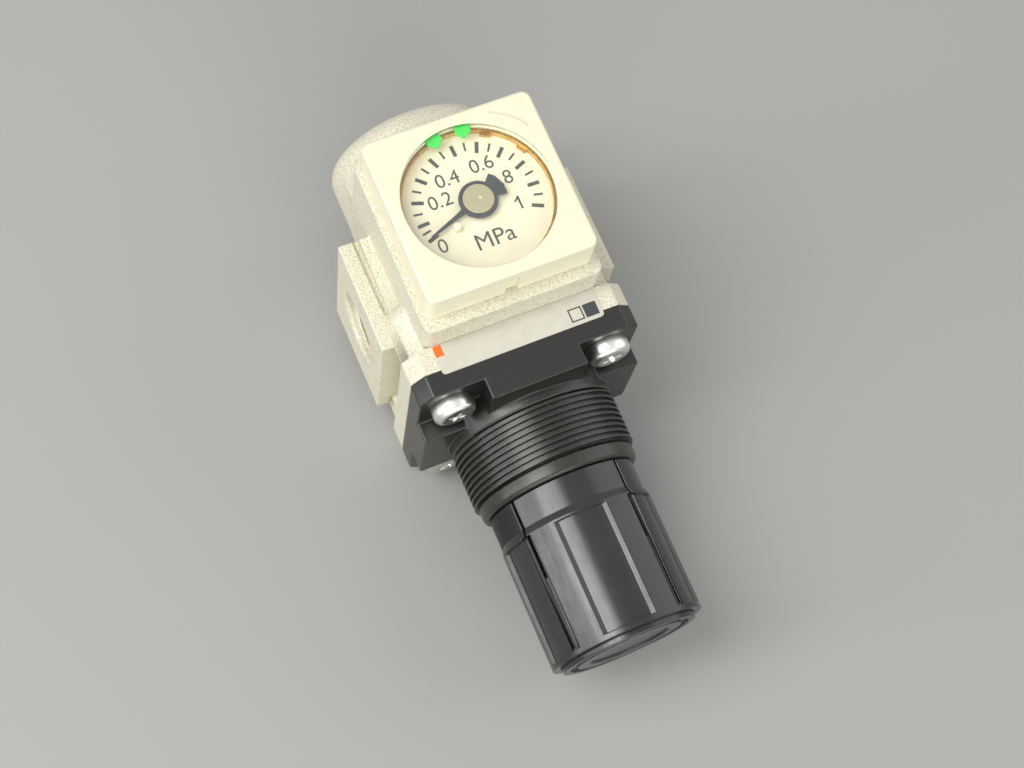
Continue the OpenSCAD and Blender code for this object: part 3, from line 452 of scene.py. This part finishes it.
mark = block("label_mark", (-13.55 * mm, -15.1 * mm, label_top - ink_t),
             (-12.2 * mm, -13.3 * mm, label_top + ink_t))
soften(mark, 0.02 * mm)
dress(mark, ink("orange_ink", "#E8661A"))
boxes = block("label_boxes", (8.3 * mm, -17.4 * mm, label_top - ink_t),
              (10.5 * mm, -15.2 * mm, label_top + ink_t))
carve(boxes, block("inside", (8.5 * mm, -17.2 * mm, label_top - 1 * mm),
                   (10.3 * mm, -15.4 * mm, label_top + 1 * mm)))
filled = block("filled", (10.8 * mm, -17.4 * mm, label_top - ink_t), (13.0 * mm, -15.2 * mm, label_top + ink_t))
join(boxes, filled)
dress(boxes, ink("dark_label_ink", "#33373A"))
for piece in (mark, boxes):
    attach(piece, "housing")

# ---- Valve guide ----
# The black plug in the barrel's end that guides the valve, held by a snap ring.
plug_black, tree, shader = new_finish("moulded_black_acetal", IOR=1.48)
place = add_node(tree, "ShaderNodeTexCoord").outputs["Object"]
mottle = add_node(tree, "ShaderNodeTexNoise", {"Vector": place, "Scale": 1 / (0.8 * mm), "Detail": 4.0})
shade = add_node(tree, "ShaderNodeMix", {"Factor": mottle.outputs["Fac"], "A": colour("#222322"),
                                         "B": colour("#313230")}, data_type="RGBA")
rough = add_node(tree, "ShaderNodeMapRange", {"Value": mottle.outputs["Fac"], "To Min": 0.35, "To Max": 0.5})
tree.links.new(shade.outputs["Result"], shader.inputs["Base Color"])
tree.links.new(rough.outputs["Result"], shader.inputs["Roughness"])
dress(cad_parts["valve_guide"], plug_black)
dress(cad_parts["thrust_washer"], plug_black)

# ---- Knob ----
# A hollow black ABS cap with six sunk finger panels, four spring slits and a pressed-in disc in its end.
# It is moulded glossy, and handling has left faint scuffs along it.
knob_low, knob_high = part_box("knob")[0].y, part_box("knob")[1].y
grip_r, neck_r, bore_r = 12.7 * mm, 12.3 * mm, 10.6 * mm
neck_end = knob_high - 4.75 * mm
step_end = neck_end - 1.0 * mm


def sunk_panel(name, middle, wide, floor_wide, depth, low, high):
    """A cutter for a panel sunk into the grip, with a curved floor and sloping sides; widths are in degrees."""
    floor_r = grip_r - depth
    rim = (grip_r * sin(radians(wide / 2)), grip_r * cos(radians(wide / 2)))
    foot = (floor_r * sin(radians(floor_wide / 2)), floor_r * cos(radians(floor_wide / 2)))
    slope = (rim[0] - foot[0]) / (rim[1] - foot[1])
    base, crown = floor_r - 1.0 * mm, grip_r + 0.5 * mm
    half = rim[0] + slope * (crown - rim[1])
    cutter = block(name, (-half, low, base), (half, high, crown))
    select_faces(cutter, lambda at, normal: normal.z < -0.9)
    bpy.ops.transform.resize(value=(max(0.02, (foot[0] + slope * (base - foot[1])) / half), 1, 1),
                             center_override=(0, 0, base))
    bpy.ops.object.mode_set(mode="OBJECT")
    settle(cutter, (0, 0, axis_z), (0, 0, 0))
    carve(cutter, rod("floor", low - 1 * mm, high + 1 * mm, floor_r, vertices=240))
    settle(cutter, (0, 0, -axis_z), (0, 0, 0))
    settle(cutter, (0, 0, 0), (0, radians(middle), 0))
    return settle(cutter, (0, 0, axis_z), (0, 0, 0))


knob = rod("grip_knob", knob_low, step_end, grip_r, vertices=240)
# sloping step up to the narrower neck
select_faces(knob, lambda at, normal: normal.y > 0.9)
bpy.ops.mesh.extrude_region_move(TRANSFORM_OT_translate={"value": (0, neck_end - step_end, 0)})
bpy.ops.transform.resize(value=(neck_r / grip_r, 1, neck_r / grip_r), center_override=(0, neck_end, axis_z))
bpy.ops.mesh.extrude_region_move(TRANSFORM_OT_translate={"value": (0, knob_high - neck_end, 0)})
bpy.ops.object.mode_set(mode="OBJECT")
# six sunk panels, and a shallow channel beside each slit
panel_low, panel_high = knob_low + 0.9 * mm, step_end - 0.45 * mm
for i in range(6):
    carve(knob, sunk_panel("panel", -6.3 + 60 * i, 40, 35, 0.55 * mm, panel_low, panel_high))
for i in range(4):
    carve(knob, sunk_panel("channel", -51.3 + 90 * i, 9.6, 8.4, 0.8 * mm,
                           knob_low + 1.3 * mm, step_end - 0.25 * mm))
carve(knob, rod("hollow", knob_low + 2.4 * mm, knob_high + 1 * mm, bore_r),
      rod("cap_seat", knob_low - 1 * mm, knob_low + 2.1 * mm, 11.4 * mm))
for i in range(4):
    slit = block("slit", (-0.26 * mm, knob_high - 13 * mm, bore_r - 1 * mm),
                 (0.26 * mm, knob_high + 1 * mm, 15 * mm))
    settle(slit, (0, 0, 0), (0, radians(-51.5 + 90 * i), 0))
    settle(slit, (0, 0, axis_z), (0, 0, 0))
    carve(knob, slit)
soften(knob, 0.1 * mm, angle=15)
# fine upright ribs on one spring finger of the neck
ribs = []
for i in range(34):
    rib = block("rib", (-0.12 * mm, neck_end + 0.1 * mm, neck_r - 0.1 * mm),
                (0.12 * mm, knob_high - 0.1 * mm, neck_r + 0.12 * mm))
    settle(rib, (0, 0, axis_z), (0, radians(-56 - 2.4 * i), 0))
    ribs.append(rib)
join(knob, *ribs)

# Moulded ABS: near-black and glossy, worn a little duller in streaks about 0.5 mm wide along the knob.
abs_gloss, tree, shader = new_finish("glossy_moulded_black_abs", IOR=1.54)
place = add_node(tree, "ShaderNodeTexCoord").outputs["Object"]
stretch = add_node(tree, "ShaderNodeMapping", {"Vector": place, "Scale": (1, 0.12, 1)})
streaks = add_node(tree, "ShaderNodeTexNoise", {"Vector": stretch.outputs["Vector"], "Scale": 1 / (0.5 * mm),
                                                "Detail": 4.0, "Roughness": 0.6})
wear = add_node(tree, "ShaderNodeTexNoise", {"Vector": place, "Scale": 1 / (4 * mm), "Detail": 3.0})
shade = add_node(tree, "ShaderNodeMix", {"Factor": wear.outputs["Fac"], "A": colour("#1A1C1C"),
                                         "B": colour("#282A2A")}, data_type="RGBA")
rough = add_node(tree, "ShaderNodeMapRange", {"Value": streaks.outputs["Fac"], "From Min": 0.3, "From Max": 0.75,
                                              "To Min": 0.17, "To Max": 0.3})
bump = add_node(tree, "ShaderNodeBump", {"Height": streaks.outputs["Fac"], "Strength": 0.06,
                                         "Distance": 0.004 * mm})
tree.links.new(shade.outputs["Result"], shader.inputs["Base Color"])
tree.links.new(rough.outputs["Result"], shader.inputs["Roughness"])
tree.links.new(bump.outputs["Normal"], shader.inputs["Normal"])
cap = soften(copy_of("knob_cap", "knob_end_disc"), 0.12 * mm)
for piece, part in ((knob, "knob"), (cap, "knob_cap")):
    dress(piece, abs_gloss)
    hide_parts(part)
    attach(piece, "knob")

# ---- Gauge case ----
# The lower half of the gauge, moulded in ivory ABS: a square shelf with a round boss that drops into the frame.
# A small notch on the knob's side lets a blade lift the cover.

# Ivory ABS: warm white, satin from a finely etched mould, very slightly yellower in patches of 5 mm.
ivory, tree, shader = new_finish("moulded_ivory_abs", IOR=1.54)
place = add_node(tree, "ShaderNodeTexCoord").outputs["Object"]
etch = add_node(tree, "ShaderNodeTexNoise", {"Vector": place, "Scale": 1 / (0.25 * mm), "Detail": 3.0})
age = add_node(tree, "ShaderNodeTexNoise", {"Vector": place, "Scale": 1 / (5 * mm), "Detail": 2.0})
shade = add_node(tree, "ShaderNodeMix", {"Factor": age.outputs["Fac"], "A": colour("#F0EACD"),
                                         "B": colour("#F5F0D8")}, data_type="RGBA")
rough = add_node(tree, "ShaderNodeMapRange", {"Value": etch.outputs["Fac"], "To Min": 0.38, "To Max": 0.52})
bump = add_node(tree, "ShaderNodeBump", {"Height": etch.outputs["Fac"], "Strength": 0.2, "Distance": 0.012 * mm})
tree.links.new(shade.outputs["Result"], shader.inputs["Base Color"])
tree.links.new(rough.outputs["Result"], shader.inputs["Roughness"])
tree.links.new(bump.outputs["Normal"], shader.inputs["Normal"])

case = soften(copy_of("gauge_case", "gauge_case_shelf"), 0.2 * mm)
dress(case, ivory)
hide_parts("gauge_case")
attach(case, "housing")
dress(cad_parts["gauge_screws"], zinc)

# ---- Dial ----
# A round aluminium plate, stove enamelled in cream and printed with the scale in dark grey-green;
# a thin amber-coloured ring with two lugs holds it down.
gauge = Vector((0, 2.75 * mm, 0))
dial_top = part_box("dial_plate")[1].z

# Cream enamel: smooth and satin, with a faint ripple a few millimetres long.
enamel, tree, shader = new_finish("cream_stove_enamel", IOR=1.5)
place = add_node(tree, "ShaderNodeTexCoord").outputs["Object"]
ripple = add_node(tree, "ShaderNodeTexNoise", {"Vector": place, "Scale": 1 / (3 * mm), "Detail": 3.0})
shade = add_node(tree, "ShaderNodeMix", {"Factor": ripple.outputs["Fac"], "A": colour("#F8F1D2"),
                                         "B": colour("#FDF7DE")}, data_type="RGBA")
rough = add_node(tree, "ShaderNodeMapRange", {"Value": ripple.outputs["Fac"], "To Min": 0.4, "To Max": 0.5})
tree.links.new(shade.outputs["Result"], shader.inputs["Base Color"])
tree.links.new(rough.outputs["Result"], shader.inputs["Roughness"])
dress(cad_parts["dial_plate"], enamel)
dress(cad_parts["stop_peg"], enamel)

# Gold lacquered brass: amber, clear-coated, with a soft gloss.
amber, tree, shader = new_finish("gold_lacquered_brass", Metallic=1.0)
place = add_node(tree, "ShaderNodeTexCoord").outputs["Object"]
tone = add_node(tree, "ShaderNodeTexNoise", {"Vector": place, "Scale": 1 / (1.5 * mm), "Detail": 3.0})
shade = add_node(tree, "ShaderNodeMix", {"Factor": tone.outputs["Fac"], "A": colour("#C99A3E"),
                                         "B": colour("#E8C878")}, data_type="RGBA")
rough = add_node(tree, "ShaderNodeMapRange", {"Value": tone.outputs["Fac"], "To Min": 0.2, "To Max": 0.35})
tree.links.new(shade.outputs["Result"], shader.inputs["Base Color"])
tree.links.new(rough.outputs["Result"], shader.inputs["Roughness"])
dress(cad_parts["dial_ring"], amber)

tick_end, major_from, minor_from = 10.09 * mm, 8.19 * mm, 8.65 * mm
marks = []
for step in range(21):
    value = step * 0.05
    angle = radians(200.3 - 163.2 * value) if value < 0.1 else radians(184.0 - 231.26 * (value - 0.1))
    start, width = (major_from, 0.6 * mm) if step % 2 == 0 else (minor_from, 0.34 * mm)
    reach = (start + tick_end) / 2
    tick = add_shape(bpy.ops.mesh.primitive_cube_add, f"tick_{step}",
                     (gauge.x + reach * cos(angle), gauge.y + reach * sin(angle), dial_top), (0, 0, angle),
                     size=1, scale=(tick_end - start, width, 2 * ink_t))
    marks.append(tick)
for text, x, y, size in (("0.2", -5.31, 2.05, 3.0), ("0.4", -2.91, 5.06, 3.0), ("0.6", 2.93, 5.56, 3.0),
                         ("0.8", 4.75, 2.2, 3.0), ("1", 6.01, -2.39, 3.0), ("0", -7.72, -4.93, 3.0),
                         ("MPa", 0.17, -6.36, 3.5)):
    bpy.ops.object.select_all(action="DESELECT")
    bpy.ops.object.text_add(location=(gauge.x + x * mm, gauge.y + y * mm, dial_top))
    word = bpy.context.object
    word.data.body, word.data.size, word.data.extrude = text, 1.08 * size * mm, ink_t
    word.data.align_x, word.data.align_y = "CENTER", "CENTER"
    bpy.ops.object.convert(target="MESH")
    bpy.ops.object.transform_apply()
    marks.append(bpy.context.object)
# the flag of the figure 1
flag = add_shape(bpy.ops.mesh.primitive_cube_add, "flag", (gauge.x + 5.62 * mm, gauge.y - 1.68 * mm, dial_top),
                 (0, 0, radians(38)), size=1, scale=(0.85 * mm, 0.3 * mm, 2 * ink_t))
scale = join(*marks, flag)
scale.name = scale.data.name = "dial_scale"
dress(scale, ink("grey_green_scale_ink", "#3F4743"))
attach(scale, "housing")

# ---- Pointer ----
# A blanked aluminium pointer, painted dark grey, pressed on the shaft under a turned champagne cap.
painted_pointer = ink("dark_pointer_paint", "#34393B")
dress(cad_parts["pointer"], painted_pointer)

# Champagne anodised aluminium: pale gold, satin, with turning rings drawn 0.3 mm apart so that they show;
# the real ones are half as wide.
champagne, tree, shader = new_finish("champagne_anodised_aluminium", Metallic=0.85)
place = add_node(tree, "ShaderNodeTexCoord").outputs["Object"]
centred = add_node(tree, "ShaderNodeMapping", {"Vector": place, "Location": -gauge})
rings = add_node(tree, "ShaderNodeTexWave", {"Vector": centred.outputs["Vector"], "Scale": 0.3 / (0.3 * mm),
                                             "Distortion": 0.3}, wave_type="RINGS", rings_direction="Z")
shade = add_node(tree, "ShaderNodeMix", {"Factor": rings.outputs["Fac"], "A": colour("#D3C9A4"),
                                         "B": colour("#E6DEBC")}, data_type="RGBA")
rough = add_node(tree, "ShaderNodeMapRange", {"Value": rings.outputs["Fac"], "To Min": 0.35, "To Max": 0.45})
tree.links.new(shade.outputs["Result"], shader.inputs["Base Color"])
tree.links.new(rough.outputs["Result"], shader.inputs["Roughness"])
hub = soften(copy_of("pointer_cap", "pointer_hub_cap"), 0.08 * mm)
dress(hub, champagne)
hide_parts("pointer_cap")
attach(hub, "pointer")

# ---- Limit markers ----
# Two bright green tabs that slide round the rim to show the working range, moulded in acetal.
marker_green, tree, shader = new_finish("moulded_green_acetal", IOR=1.48)
place = add_node(tree, "ShaderNodeTexCoord").outputs["Object"]
flow = add_node(tree, "ShaderNodeTexNoise", {"Vector": place, "Scale": 1 / (1 * mm), "Detail": 2.0})
shade = add_node(tree, "ShaderNodeMix", {"Factor": flow.outputs["Fac"], "A": colour("#2BD945"),
                                         "B": colour("#4CE862")}, data_type="RGBA")
rough = add_node(tree, "ShaderNodeMapRange", {"Value": flow.outputs["Fac"], "To Min": 0.35, "To Max": 0.5})
tree.links.new(shade.outputs["Result"], shader.inputs["Base Color"])
tree.links.new(rough.outputs["Result"], shader.inputs["Roughness"])
for part, body in (("low_limit_marker", "low_marker"), ("high_limit_marker", "high_marker")):
    tab = soften(copy_of(part, part.replace("limit_marker", "limit_tab")), 0.06 * mm)
    dress(tab, marker_green)
    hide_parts(part)
    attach(tab, body)

# ---- Gauge cover and window ----
# The clip-on cover: the same ivory ABS, with well rounded edges, a sunk arrow in one corner and a slot to pry it
# off, and a clear round window set in from below.
cover_low, cover_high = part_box("gauge_cover")
window_r = 11.9 * mm
cover = block("lens_cover", cover_low, cover_high)
alone(cover)
bpy.ops.object.mode_set(mode="EDIT")
bpy.ops.mesh.select_mode(type="EDGE")
bpy.ops.mesh.select_all(action="DESELECT")
bpy.ops.object.mode_set(mode="OBJECT")
for edge in cover.data.edges:
    ends = [cover.data.vertices[i].co for i in edge.vertices]
    edge.select = abs(ends[0].z - ends[1].z) > 1 * mm
bpy.ops.object.mode_set(mode="EDIT")
bpy.ops.mesh.bevel(offset=1.5 * mm, segments=8)
bpy.ops.object.mode_set(mode="OBJECT")
select_faces(cover, lambda at, normal: normal.z > 0.9)
bpy.ops.mesh.bevel(offset=0.55 * mm, segments=4)
bpy.ops.object.mode_set(mode="OBJECT")
window_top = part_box("gauge_window")[1].z
carve(cover, add_shape(bpy.ops.mesh.primitive_cylinder_add, "opening", (gauge.x, gauge.y, cover_high.z),
                       radius=window_r, depth=20 * mm, vertices=160),
      add_shape(bpy.ops.mesh.primitive_cylinder_add, "seat", (gauge.x, gauge.y, window_top - 9.95 * mm),
                radius=12.45 * mm, depth=20 * mm, vertices=160))
arrow_floor = cover_high.z - 0.2 * mm
arrow = copy_of("gauge_cover", "arrow")
select_faces(arrow, lambda at, normal: normal.z > 0.9 and abs(at.z - arrow_floor) < 0.01 * mm)
bpy.ops.mesh.select_all(action="INVERT")
bpy.ops.mesh.delete(type="FACE")
bpy.ops.mesh.select_all(action="SELECT")
bpy.ops.mesh.extrude_region_move(TRANSFORM_OT_translate={"value": (0, 0, 1 * mm)})
bpy.ops.mesh.select_all(action="SELECT")
bpy.ops.mesh.normals_make_consistent(inside=False)
bpy.ops.transform.translate(value=(0, 0, -0.12 * mm))
bpy.ops.object.mode_set(mode="OBJECT")
carve(cover, arrow, block("pry_slot", (-1 * mm, cover_low.y - 1 * mm, cover_low.z - 1 * mm),
                          (1 * mm, cover_low.y + 0.3 * mm, cover_low.z + 0.9 * mm)))
soften(cover, 0.15 * mm, angle=40)
dress(cover, ivory)
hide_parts("gauge_cover")
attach(cover, "cover")

# Polycarbonate: water clear and glossy, with the faint rings of the turned mould 0.8 mm apart.
clear, tree, shader = new_finish("clear_polycarbonate", IOR=1.58, Roughness=0.04)
shader.inputs["Transmission Weight"].default_value = 1.0
place = add_node(tree, "ShaderNodeTexCoord").outputs["Object"]
centred = add_node(tree, "ShaderNodeMapping", {"Vector": place, "Location": -gauge})
rings = add_node(tree, "ShaderNodeTexWave", {"Vector": centred.outputs["Vector"], "Scale": 0.3 / (0.8 * mm)},
                 wave_type="RINGS", rings_direction="Z")
bump = add_node(tree, "ShaderNodeBump", {"Height": rings.outputs["Fac"], "Strength": 0.06, "Distance": 0.01 * mm})
tree.links.new(bump.outputs["Normal"], shader.inputs["Normal"])
ray = add_node(tree, "ShaderNodeLightPath")
through = add_node(tree, "ShaderNodeBsdfTransparent", {"Color": colour("#F4F6F4")})
pane = add_node(tree, "ShaderNodeMixShader", {0: ray.outputs["Is Shadow Ray"], 1: shader.outputs["BSDF"],
                                              2: through.outputs["BSDF"]})
output = next(n for n in tree.nodes if n.type == "OUTPUT_MATERIAL")
tree.links.new(pane.outputs["Shader"], output.inputs["Surface"])
window = soften(copy_of("gauge_window", "gauge_window_pane"), 0.1 * mm)
dress(window, clear)
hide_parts("gauge_window")
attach(window, "cover")

# ---- Camera, light and floor ----
# Four rectangular lamps and a pale world light the regulator on a matt grey table top; the lens is a little long.


def add_light(name, at, aim, size, power, tint="#FFFFFF"):
    lamp = bpy.data.lights.new(name, "AREA")
    lamp.shape, lamp.size, lamp.size_y, lamp.energy = "RECTANGLE", size[0], size[1], power
    lamp.color = colour(tint)[:3]
    made = bpy.data.objects.new(name, lamp)
    bpy.context.collection.objects.link(made)
    made.location = at
    made.rotation_mode = "QUATERNION"
    made.rotation_quaternion = (Vector(aim) - Vector(at)).to_track_quat("-Z", "Y")
    return made


middle_of_part = (0, -18 * mm, 25 * mm)
add_light("overhead", (-0.36, 0.08, 0.62), middle_of_part, (0.3, 0.45), 2.2, "#FFFDF8")
add_light("left_window", (-0.60, 0.06, 0.42), middle_of_part, (0.12, 1.1), 2.2, "#FFFFFF")
add_light("right_fill", (0.62, -0.10, 0.38), middle_of_part, (0.7, 0.7), 1.4)
add_light("front_window", (-0.16, -0.70, 0.34), middle_of_part, (0.8, 0.5), 3.7, "#FFFDF6")
world = bpy.data.worlds.new("studio")
bpy.context.scene.world = world
world.use_nodes = True
# dim for what it lights, paler where it is seen or mirrored
tree = world.node_tree
sky = tree.nodes["Background"]
sky.inputs["Color"].default_value = colour("#FFFFFF")
ray = add_node(tree, "ShaderNodeLightPath")
seen = add_node(tree, "ShaderNodeMath", {0: ray.outputs["Is Camera Ray"], 1: ray.outputs["Is Glossy Ray"]},
                operation="ADD", use_clamp=True)
clear_too = add_node(tree, "ShaderNodeMath", {0: seen.outputs["Value"], 1: ray.outputs["Is Transmission Ray"]},
                     operation="ADD", use_clamp=True)
strength = add_node(tree, "ShaderNodeMapRange", {"Value": clear_too.outputs["Value"],
                                                 "To Min": 0.35, "To Max": 0.85})
tree.links.new(strength.outputs["Result"], sky.inputs["Strength"])

alone(casting)
bpy.ops.object.select_all(action="DESELECT")
bpy.ops.mesh.primitive_plane_add(size=3, location=(0, 0, -0.02 * mm))
floor = bpy.context.object
floor.name = "floor"
table, tree, shader = new_finish("matt_table_top", Roughness=0.6)
shader.inputs["Base Color"].default_value = colour("#A5A5A4")
dress(floor, table)

azimuth, elevation, roll = 0.688, 1.224, 0.298
ahead = Vector((sin(azimuth) * cos(elevation), cos(azimuth) * cos(elevation), -sin(elevation)))
level = ahead.cross(Vector((0, 0, 1))).normalized()
rise = level.cross(ahead)
right = cos(roll) * level + sin(roll) * rise
top = -sin(roll) * level + cos(roll) * rise
lens = bpy.data.cameras.new("camera")
lens.lens, lens.sensor_width, lens.clip_start = 61.8, 36, 0.01
camera = bpy.data.objects.new("camera", lens)
bpy.context.collection.objects.link(camera)
camera.matrix_world = Matrix((
    (right.x, top.x, -ahead.x, -62.16 * mm), (right.y, top.y, -ahead.y, -93.371 * mm),
    (right.z, top.z, -ahead.z, 288.8 * mm), (0, 0, 0, 1)))
bpy.context.scene.camera = camera
bpy.context.scene.view_settings.view_transform = "Standard"
